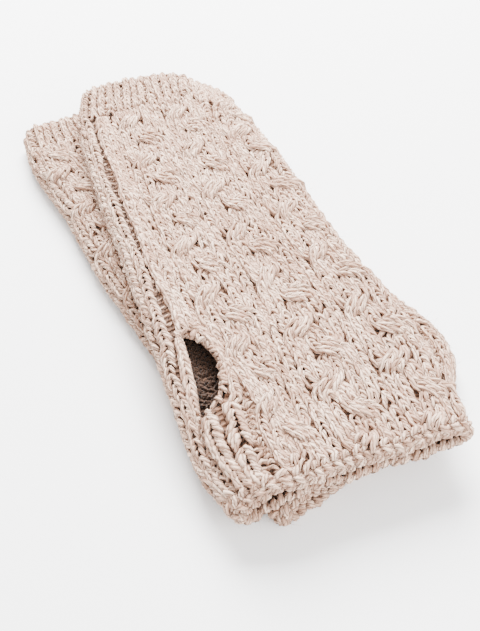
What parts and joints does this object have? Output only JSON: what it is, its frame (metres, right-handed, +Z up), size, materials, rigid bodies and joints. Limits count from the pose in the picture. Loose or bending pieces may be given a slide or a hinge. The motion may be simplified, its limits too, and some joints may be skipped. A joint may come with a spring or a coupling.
{
  "type": "pair of fingerless mittens",
  "caption": "Long cable-knit fingerless mittens with ribbed cuffs and thumb slits, laid one on the other.",
  "frame": {"origin": "on the floor under the middle of the pile's bounding box", "axes": "+Z up, +Y along the upper mitten from its finger edge to its wrist cuff, +X to the right seen from the finger end"},
  "size_m": [0.1518, 0.2788, 0.0297],
  "materials": {
    "upper_back": "marled wool, cable knit",
    "upper_palm": "marled wool, plain knit",
    "upper_cuff": "marled wool, rib knit",
    "upper_finger_edge": "marled wool, bound-off chain",
    "upper_thumb_edge": "marled wool, edge stitches",
    "lower_back": "marled wool, cable knit",
    "lower_palm": "marled wool, plain knit",
    "lower_cuff": "marled wool, rib knit",
    "lower_finger_edge": "marled wool, bound-off chain",
    "lower_thumb_edge": "marled wool, edge stitches"
  },
  "bodies": {
    "root": {"upper_back": "upper_back", "upper_palm": "upper_palm", "upper_cuff": "upper_cuff", "upper_finger_edge": "upper_finger_edge", "upper_thumb_edge": "upper_thumb_edge", "lower_back": "lower_back", "lower_palm": "lower_palm", "lower_cuff": "lower_cuff", "lower_finger_edge": "lower_finger_edge", "lower_thumb_edge": "lower_thumb_edge"}
  },
  "joints": []
}
